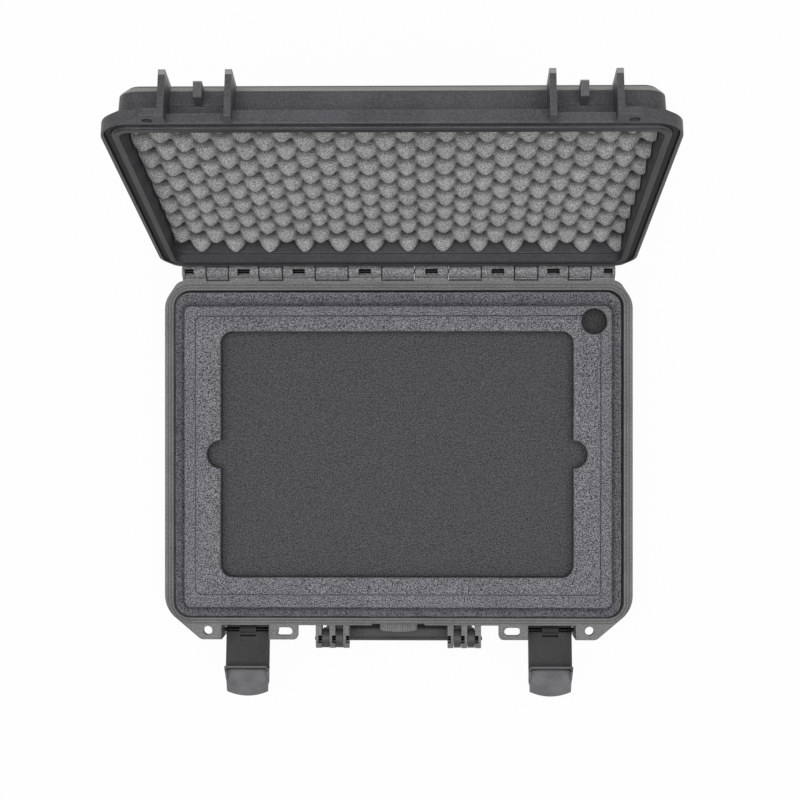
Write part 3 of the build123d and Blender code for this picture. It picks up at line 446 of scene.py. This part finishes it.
def carved(piece, cutter):
    """Takes the cutter's shape out of a piece."""
    cut = piece.modifiers.new("cut", "BOOLEAN")
    cut.operation = "DIFFERENCE"
    cut.solver = "EXACT"
    cut.object = cutter
    graph = bpy.context.evaluated_depsgraph_get()
    data = bpy.data.meshes.new_from_object(piece.evaluated_get(graph))
    piece.modifiers.clear()
    piece.data = data
    bpy.data.objects.remove(cutter)


def smooth(piece, angle):
    """Shades a piece smooth except over edges sharper than this angle."""
    bpy.context.view_layer.objects.active = piece
    piece.select_set(True)
    bpy.ops.object.shade_smooth_by_angle(angle=math.radians(angle))
    piece.select_set(False)


def tip_sheen(paint):
    """The finger tip, painted paler in patches: a painted sheen."""
    tip = paint.fade(paint.along(1) * -1, *shine_from)
    patchy = paint.ramp(paint.noise(70, 2.0), (0.3, 0.6), (0.7, 1.0))
    return tip * patchy, (0.19, 0.19, 0.2, 1)


def dark_slit(paint):
    """The bottom of the moulding slit over the barrel, always in shade."""
    x = paint.size(paint.along(0))
    across = paint.fade(paint.size(x - lever_x), barrel_half, barrel_half - 0.0003)
    out = paint.fade(paint.size(paint.along(1) * -1 - slit_out), *slit_half)
    return across * out, (0.003, 0.003, 0.003, 1)


def hook_highlight(paint):
    """A painted highlight along the end of the hook."""
    return 0.8 * paint.fade(paint.along(2), *hook_end), rubbed_and_highlight_grey


latch_plastic = moulded(
    "latch_plastic", (0.026, 0.026, 0.0268, 1), (0.064, 0.064, 0.066, 1), rubbed_and_highlight_grey, 0.44,
    speck=900, grain=0.00005, patches=[tip_sheen, hook_highlight, dark_slit], gloss=0.1,
)
for side, middle in (("left", -lever_x), ("right", lever_x)):
    web = bmesh.new()
    lever_prism(
        web,
        [(web_back, web_foot), (web_face, web_foot), (web_face, hook_top), (web_back, hook_top)],
        middle - lever_half, middle + lever_half,
    )
    lever = made(f"latch_{side}_lever", web)
    slit = bmesh.new()
    near, far = slit_ends
    lever_prism(
        slit, [(slit_floor, near), (0.004, near), (0.004, far), (slit_floor, far)],
        middle - barrel_half, middle + barrel_half - 0.001, soft=0.0001,
    )
    carved(lever, made("slit", slit))
    rest = bmesh.new()
    rest.from_mesh(lever.data)
    # skirts beside the barrel, which close the bay behind the pin, and the barrel
    for low, high in ((-lever_half, -barrel_half), (barrel_half, lever_half)):
        lever_prism(
            rest,
            [(web_back, skirt_end), (skirt_face, skirt_end),
             (skirt_face, skirt_top), (web_back, skirt_top)],
            middle + low, middle + high,
        )
    turn = [2 * math.pi * step / barrel_sides for step in range(barrel_sides)]
    lever_prism(
        rest, [(barrel_radius * math.cos(a), barrel_radius * math.sin(a)) for a in turn],
        middle - barrel_half, middle + barrel_half, soft=0.0003,
    )
    # hook across the web, its gussets, and the flanges under the web
    hook = [(web_back, hook_foot), (hook_reach, hook_foot), (hook_reach, hook_foot + hook_edge)]
    lever_prism(rest, hook + [(web_back, hook_top)], middle - lever_half, middle + lever_half)
    for edge in (-1, 1):
        ends = sorted((middle + edge * lever_half, middle + edge * (lever_half - gusset_width)))
        lever_prism(rest, hook + [(web_back, gusset_foot)], *ends)
        lever_prism(
            rest,
            [(web_back, web_foot), (web_back - flange_depth, web_foot + flange_rise),
             (web_back - flange_depth, hook_foot), flange_corner, (web_back, hook_top)],
            *ends,
        )
    lever_tip(rest, middle)
    rest.to_mesh(lever.data)
    rest.free()
    smooth(lever, 38)
    lever.data.materials.clear()
    lever.data.materials.append(latch_plastic)
    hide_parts(f"latch_{side}")
    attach(lever, f"latch_{side}")


# ---------------------------------------------------------------- handle
# Folding handle, moulded, hanging from its two pins in front of the base.
handle_plastic = moulded(
    "handle_plastic",
    (0.027, 0.027, 0.028, 1), (0.066, 0.066, 0.068, 1), (0.22, 0.22, 0.22, 1), 0.5,
)
dress("handle", handle_plastic)


# ---------------------------------------------------------------- pressure valve
# Knurled knob on a threaded body that is nutted through the front wall, with a porous
# white membrane over its air passage.
# The knurl's edges are painted very pale: wear and painted highlight.
knob_plastic = moulded(
    "knob_plastic",
    (0.06, 0.06, 0.06, 1), (0.23, 0.23, 0.235, 1), (0.75, 0.75, 0.77, 1), 0.26, speck=700,
)
dress("valve_knob", knob_plastic)
dress("valve_body", latch_plastic)
dress("valve_nut", latch_plastic)
membrane = Paint("valve_membrane", {"Roughness": 0.9})
pores = membrane.noise(1500, 2.0, 0.6)
membrane.feed("Base Color", membrane.blend(pores, (0.45, 0.45, 0.43, 1), (0.75, 0.75, 0.72, 1)))
membrane.bump(pores, 0.00008)
dress("valve_membrane", membrane.material)


# ---------------------------------------------------------------- foam in the base
# Closed-cell polyethylene foam, charcoal, cut from skived sheet: a surround pressed into
# the tub, with a lower ledge round its edge, and a lift-out tray. The tray's top sheet has
# the pocket cut through it, and the sheet under it is smoother and darker.
noise.seed_set(16)  # without a seed its field is another one in every run
foam_shift = -0.0006
foam_bottom = 0.0037
ledge_top = 0.089
foam_top = 0.096
pocket_bottom = 0.079
sheet_joint = 0.084
draft = math.tan(math.radians(2.5))
opening_top = 0.098
wall_gap = 0.0006
tub_corner = 0.017
plateau_half = (0.2180, 0.15385)
plateau_corner = 0.008
plateau_back = 0.00245
tray_half = (0.2066, 0.1422)
tray_corner = 0.006
tray_back = 0.0009
tray_play = 0.0001
pocket_half = (0.1797, 0.1253)
pocket_corner = 0.012
pocket_aside = 0.001
hole_place = (0.1992, 0.1349)
hole_radius = 0.0132
notch_places = ((-0.1813, -0.0006), (0.1781, -0.0006))
notch_radius = 0.0143
post_center = (0.2017, 0.13715)
post_half = (0.0157, 0.01545)
knife_width = 0.0004
knife_depth = 0.0016
ledge_shade = (0.0925, 0.0900)
valley_shade = (0.0893, 0.0883)
cell_size = 720
cell_dark = (0.018, 0.018, 0.023, 1)
cell_light = (0.365, 0.360, 0.388, 1)
sway_reach = 0.00035
sway_grain = 42


def rounded_ring(center, half, corner, z):
    """Points round an upright rounded rectangle, as many for every size."""
    points = []
    for turn, (sx, sy) in enumerate(((1, 1), (-1, 1), (-1, -1), (1, -1))):
        for step in range(11):
            angle = math.radians(90 * turn + 9 * step)
            points.append((
                center[0] + sx * (half[0] - corner) + corner * math.cos(angle),
                center[1] + sy * (half[1] - corner) + corner * math.sin(angle),
                z,
            ))
        following = ((-1, 1), (-1, -1), (1, -1), (1, 1))[turn]
        end = (
            center[0] + following[0] * (half[0] - corner) + corner * math.cos(angle),
            center[1] + following[1] * (half[1] - corner) + corner * math.sin(angle),
        )
        spans = 84 if turn % 2 == 0 else 60
        last = points[-1]
        for step in range(1, spans):
            share = step / spans
            points.append((
                last[0] + (end[0] - last[0]) * share, last[1] + (end[1] - last[1]) * share, z
            ))
    return [Vector(point) for point in points]


def lofted(name, rings, closed):
    """A skin over rings of points, closed into a ring or capped at both ends."""
    mesh = bmesh.new()
    rows = [[mesh.verts.new(point) for point in ring] for ring in rings]
    count = len(rows[0])
    pairs = list(zip(rows, rows[1:])) + ([(rows[-1], rows[0])] if closed else [])
    for low, high in pairs:
        for place in range(count):
            after = (place + 1) % count
            mesh.faces.new((low[place], low[after], high[after], high[place]))
    if not closed:
        mesh.faces.new(rows[0][::-1])
        mesh.faces.new(rows[-1])
    bmesh.ops.recalc_face_normals(mesh, faces=mesh.faces)
    return made(name, mesh)


def settle(piece, reach, grain):
    """Hand-cut foam is nowhere quite true: moves points a little, never the height much."""
    for vertex in piece.data.vertices:
        sway = noise.noise_vector(vertex.co * grain)
        vertex.co += Vector((sway.x, sway.y, 0.6 * sway.z)) * reach


def circle_ring(place, radius, z):
    """Points round a level circle."""
    return [
        Vector((place[0] + radius * math.cos(a), place[1] + radius * math.sin(a), z))
        for a in (2 * math.pi * step / 56 for step in range(56))
    ]


def punched(piece, holes):
    """Cuts soft-lipped round holes, given as (place, radius, bottom), down into a piece."""
    for place, radius, bottom in holes:
        carved(piece, lofted("cutter", [
            circle_ring(place, radius, bottom), circle_ring(place, radius, foam_top - 0.0012),
            circle_ring(place, radius + 0.0002, foam_top - 0.0005),
            circle_ring(place, radius + 0.0008, foam_top),
            circle_ring(place, radius + 0.004, foam_top + 0.004),
        ], False))


def scored(piece, center, half):
    """Draws a knife line round a square in the top of a piece."""
    wide = [half[0] + knife_width / 2, half[1] + knife_width / 2]
    narrow = [half[0] - knife_width / 2, half[1] - knife_width / 2]
    carved(piece, lofted("cutter", [
        rounded_ring(center, wide, 0.0012, foam_top - knife_depth),
        rounded_ring(center, wide, 0.0012, foam_top + 0.002),
        rounded_ring(center, narrow, 0.0008, foam_top + 0.002),
        rounded_ring(center, narrow, 0.0008, foam_top - knife_depth),
    ], True))


def foam_paint(name, dark, light, coarse, under=None, hollow_shade=None):
    """Cut foam: open cells of two sizes, drifts of tone, a darker sheet under it, paler edges as
    painted highlight, and painted shade low down or in hollows where asked.
    """
    paint = Paint(name, {"Specular IOR Level": 0.2})
    cells = paint.noise(coarse, 2.0, 0.8)
    fine = paint.noise(2.2 * coarse, 2.0, 0.6)
    drift = paint.noise(28, 2.0, 0.5)
    tone = paint.ramp(0.62 * cells + 0.38 * fine, (0.42, 0.0), (0.58, 1.0))
    body = paint.blend(tone, dark, light)
    body = paint.blend(0.14 * paint.ramp(drift, (0.35, 0.0), (0.7, 1.0)), body, dark)
    # Painted highlight: the cut edges are painted paler.
    body = paint.blend(0.3 * paint.edge(0.0018), body, light)
    rough = 0.86 + 0.1 * cells
    relief = 0.7 * cells + 0.3 * fine
    if under:
        height = paint.along(2)
        # Painted shade: darker below the ledge's height, most in the valley at the plateau's foot.
        low_shade = 0.26 * paint.fade(height, *ledge_shade) + 0.3 * paint.fade(height, *valley_shade)
        body = paint.blend(low_shade, body, dark)
        below = height.maths("LESS_THAN", height, under[0])
        body = paint.blend(below, body, paint.blend(tone, under[1], under[2]))
        relief = relief * (1 - 0.6 * below)
    if hollow_shade:
        # Painted shade in the hollows between the fingers.
        stand = paint.node("ShaderNodeAttribute", {"attribute_name": "stand"}, {}, "Fac")
        body = paint.blend(paint.ramp(stand, (0.45, 0.86), (0.60, 0.52), (0.74, 0.0)), body, hollow_shade)
    paint.feed("Base Color", body)
    paint.feed("Roughness", rough)
    paint.bump(relief, 0.0012, 1.0)
    return paint.material


sheet_foam = foam_paint(
    "sheet_foam", cell_dark, cell_light, cell_size,
    under=(sheet_joint, (0.022, 0.022, 0.023, 1), (0.085, 0.085, 0.087, 1)),
)
floor_foam = foam_paint(
    "floor_foam", cell_dark, cell_light, cell_size,
    under=(sheet_joint, (0.030, 0.030, 0.032, 1), (0.130, 0.129, 0.137, 1)),
)


def grown_ring(center, half, corner, outside, z):
    """A ring this far outside a rounded rectangle."""
    return rounded_ring(center, (half[0] + outside, half[1] + outside), corner + outside, z)


def tub_ring(inside, z):
    """A ring just inside the tub's wall, which narrows towards the floor."""
    inset = inside + wall_gap + (opening_top - z) * draft
    return grown_ring((foam_shift, foam_shift), opening_half, tub_corner, -inset, z)


def tray_ring(outside, z, shift=0.0):
    """A ring round the cut between the surround and the tray."""
    center = (foam_shift - shift, foam_shift - tray_back - shift)
    return grown_ring(center, tray_half, tray_corner, outside, z)


def plateau_ring(outside, z):
    """A ring round the raised middle, inside the ledge."""
    center = (foam_shift, foam_shift - plateau_back)
    return grown_ring(center, plateau_half, plateau_corner, outside, z)


surround = lofted("foam_surround_soft", [
    tub_ring(0.0009, foam_bottom), tub_ring(0.0002, 0.045), tub_ring(0.0, ledge_top + 0.0014),
    tub_ring(0.0002, ledge_top + 0.0024), tub_ring(0.0009, ledge_top + 0.0030),
    plateau_ring(0.0058, ledge_top + 0.0006), plateau_ring(0.0024, ledge_top - 0.0008),
    plateau_ring(0.0008, ledge_top - 0.0005), plateau_ring(0.0001, ledge_top + 0.0008),
    plateau_ring(-0.0002, foam_top - 0.0012), plateau_ring(-0.0006, foam_top - 0.0003),
    plateau_ring(-0.0015, foam_top),
    tray_ring(0.0014, foam_top), tray_ring(0.0004, foam_top - 0.0002),
    tray_ring(0.0001, foam_top - 0.0008), tray_ring(0.0, foam_top - 0.003),
    tray_ring(0.0, 0.05), tray_ring(0.0, foam_bottom),
], True)
settle(surround, sway_reach, sway_grain)
punched(surround, [(hole_place, hole_radius, pocket_bottom - 0.003)])
scored(surround, post_center, post_half)
smooth(surround, 50)
surround.data.materials.append(sheet_foam)
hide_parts("foam_surround", "foam_corner_post")
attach(surround, "base")


def pocket_ring(outside, z):
    """A ring round the pocket that the laptop lies in."""
    center = (foam_shift - pocket_aside, foam_shift)
    return grown_ring(center, pocket_half, pocket_corner, outside, z)


tray_top = lofted("foam_tray_frame_soft", [
    tray_ring(-0.0003, pocket_bottom + 0.0001, tray_play),
    tray_ring(-0.0002, foam_top - 0.003, tray_play),
    tray_ring(-0.0003, foam_top - 0.0008, tray_play),
    tray_ring(-0.0006, foam_top - 0.0002, tray_play),
    tray_ring(-0.0016, foam_top + 0.0001, tray_play), pocket_ring(0.0018, foam_top + 0.0002),
    pocket_ring(0.0007, foam_top), pocket_ring(0.0002, foam_top - 0.0006),
    pocket_ring(0.0, foam_top - 0.0020), pocket_ring(0.0, pocket_bottom + 0.0001),
], True)
settle(tray_top, sway_reach, sway_grain)
punched(tray_top, [
    (notch_places[0], notch_radius, pocket_bottom - 0.004),
    (notch_places[1], notch_radius, pocket_bottom - 0.004),
    (hole_place, hole_radius, pocket_bottom - 0.004),
])
scored(tray_top, post_center, post_half)
smooth(tray_top, 50)
tray_top.data.materials.append(sheet_foam)
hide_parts("foam_tray_frame")
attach(tray_top, "base")

tray_under = lofted("foam_tray_base_soft", [
    tray_ring(-0.0018, foam_bottom), tray_ring(-0.0004, foam_bottom + 0.0012),
    tray_ring(-0.0003, 0.03), tray_ring(-0.0003, pocket_bottom - 0.0012),
    tray_ring(-0.0008, pocket_bottom - 0.0003), tray_ring(-0.0020, pocket_bottom),
    tray_ring(-0.005, pocket_bottom),
], False)
settle(tray_under, 0.0002, 30)
smooth(tray_under, 50)
tray_under.data.materials.append(floor_foam)
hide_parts("foam_tray_base")
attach(tray_under, "base")


hole_floor = lofted("lifting_hole_floor_soft", [
    circle_ring(hole_place, hole_radius + 0.0005, pocket_bottom - 0.003),
    circle_ring(hole_place, hole_radius + 0.0005, pocket_bottom + 0.0002),
    circle_ring(hole_place, hole_radius - 0.0010, pocket_bottom + 0.0004),
    circle_ring(hole_place, hole_radius - 0.0040, pocket_bottom + 0.0004),
], False)
hole_floor.data.materials.append(sheet_foam)
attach(hole_floor, "base")


# ---------------------------------------------------------------- foam in the lid
# Convoluted polyurethane sheet, glued to the lid's inside: staggered soft fingers with painted
# shade in the hollows between them, cut square and a little ragged at the edges.
hinge_axis = Vector((0, hinge_y, hinge_z))
lid_turn = Matrix.Rotation(lid_swing, 4, "X").inverted()
lid_place = Matrix.Translation(hinge_axis) @ lid_turn @ Matrix.Translation(-hinge_axis)
finger_pitch = (0.03452, 0.0366)
finger_fullness = 0.58
finger_first = (-0.196, -0.0015)
finger_tip = 0.1108
finger_depth = 0.0205
finger_droop = 0.0035
sag_from = 0.100
sag = 0.0085
cut_back = 0.1455
crate_back = 0.1360
crate_half = (0.2213, 0.1541)
crate_corner = 0.014
cut_in = 0.9985
edge_fade = 0.95
edge_soft = 0.008
wander_grain, wander_reach = 24, 0.0020
skin_grain, skin_reach = 9, 0.0012
cell_grain, cell_reach = 420, 0.0004


def crate_height(x, y):
    """How far the foam stands out at a point of the closed lid, 0 in a hollow, 1 at a tip."""
    across = 2 * math.pi * (x - finger_first[0]) / finger_pitch[0]
    along = 2 * math.pi * (y - finger_first[1]) / finger_pitch[1]
    swell = 0.5 + 0.5 * math.cos(across) * math.cos(along)
    return swell ** finger_fullness


columns, rows = 268, 192
mesh = bmesh.new()
reach_layer = mesh.verts.layers.float.new("stand")
top = []
for row in range(rows + 1):
    line = []
    for column in range(columns + 1):
        x = crate_half[0] * (2 * column / columns - 1)
        y = crate_half[1] * (2 * row / rows - 1)
        over = (abs(x) - crate_half[0] + crate_corner, abs(y) - crate_half[1] + crate_corner)
        if over[0] > 0 and over[1] > 0:
            reach = max(over) / math.hypot(*over)
            x -= math.copysign(over[0] * (1 - reach), x)
            y -= math.copysign(over[1] * (1 - reach), y)
        wander = noise.noise_vector(Vector((x * wander_grain, y * wander_grain, 1.7)))
        wander *= wander_reach
        skin = noise.noise(Vector((x * skin_grain, y * skin_grain, 5.1))) * skin_reach
        stand = crate_height(x + wander.x, y + wander.y)
        stand *= 1 - edge_fade * max(0, (y - cut_back) / (crate_half[1] - cut_back)) ** 2
        cell = noise.noise(Vector((x * cell_grain, y * cell_grain, 0.3))) * cell_reach
        droop = finger_droop * stand ** 2 * min(1, (crate_half[1] - abs(y)) / edge_soft)
        bulge = sag * max(0, (y - sag_from) / (crate_half[1] - sag_from)) ** 1.4
        z = finger_tip + finger_depth * (1 - stand) + skin + cell - bulge
        point = mesh.verts.new((x, y + droop, z))
        point[reach_layer] = stand
        line.append(point)
    top.append(line)
for row in range(rows):
    for column in range(columns):
        mesh.faces.new((
            top[row][column], top[row][column + 1], top[row + 1][column + 1], top[row + 1][column]
        ))
border = (
    [top[0][c] for c in range(columns)] + [top[r][columns] for r in range(rows)]
    + [top[rows][c] for c in range(columns, 0, -1)] + [top[r][0] for r in range(rows, 0, -1)]
)
sides = [mesh.verts.new((v.co.x * cut_in, v.co.y * cut_in, crate_back)) for v in border]
for place in range(len(border)):
    after = (place + 1) % len(border)
    mesh.faces.new((border[place], border[after], sides[after], sides[place]))
mesh.faces.new(sides)
bmesh.ops.recalc_face_normals(mesh, faces=mesh.faces)
mesh.transform(lid_place)
crate = made("lid_foam_soft", mesh)
smooth(crate, 60)
crate.data.materials.append(foam_paint(
    "crate_foam", (0.12, 0.12, 0.12, 1), (0.76, 0.76, 0.755, 1), 1050,
    hollow_shade=(0.014, 0.014, 0.014, 1),
))
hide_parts("lid_foam")
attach(crate, "lid")


# ---------------------------------------------------------------- studio
# Pale floor that keeps a soft shadow, a white surround behind it, and one broad lamp above.
white = (1, 1, 1, 1)
floor_size = 12.0
bpy.ops.mesh.primitive_plane_add(size=floor_size)
floor = bpy.context.object
floor.name = "studio_floor"
ground = Paint("studio_floor", {"Base Color": (0.8, 0.8, 0.8, 1), "Roughness": 0.9})
seen = (
    ground.node("ShaderNodeLightPath", {}, {}, "Is Camera Ray")
    + ground.node("ShaderNodeLightPath", {}, {}, "Is Glossy Ray")
)
glow = ground.node("ShaderNodeEmission", {}, {"Color": white, "Strength": 1.0})
ground.close(ground.node(
    "ShaderNodeMixShader", {}, {0: seen * 0.96, 1: ground.own("Principled BSDF"), 2: glow}
), "Material Output")
floor.data.materials.append(ground.material)

world = bpy.data.worlds.new("studio")
bpy.context.scene.world = world
world.use_nodes = True
sky = Tree(world.node_tree)
plain = sky.tree.nodes["Background"].inputs
plain["Color"].default_value = white
plain["Strength"].default_value = 0.34
backdrop = sky.node("ShaderNodeBackground", {}, {"Color": white, "Strength": 0.97})
watched = sky.node("ShaderNodeLightPath", {}, {}, "Is Camera Ray")
sky.close(sky.node(
    "ShaderNodeMixShader", {}, {0: watched, 1: sky.own("Background"), 2: backdrop}
), "World Output")

lamp = bpy.data.objects.new("top_lamp", bpy.data.lights.new("top_lamp", "AREA"))
lamp.data.shape = "RECTANGLE"
lamp.data.size = 2.4
lamp.data.size_y = 1.8
lamp.data.energy = 46
lamp.location = (0.0, 0.1, 2.4)
bpy.context.collection.objects.link(lamp)

camera = bpy.data.objects.new("camera", bpy.data.cameras.new("camera"))
camera.data.sensor_width = 36.0
camera.data.lens = 71.82
camera.location = (0.0292, 0.0549, 1.720)
camera.rotation_euler = (0, math.radians(0.97), 0)
bpy.context.collection.objects.link(camera)
bpy.context.scene.camera = camera
bpy.context.scene.view_settings.view_transform = "Standard"
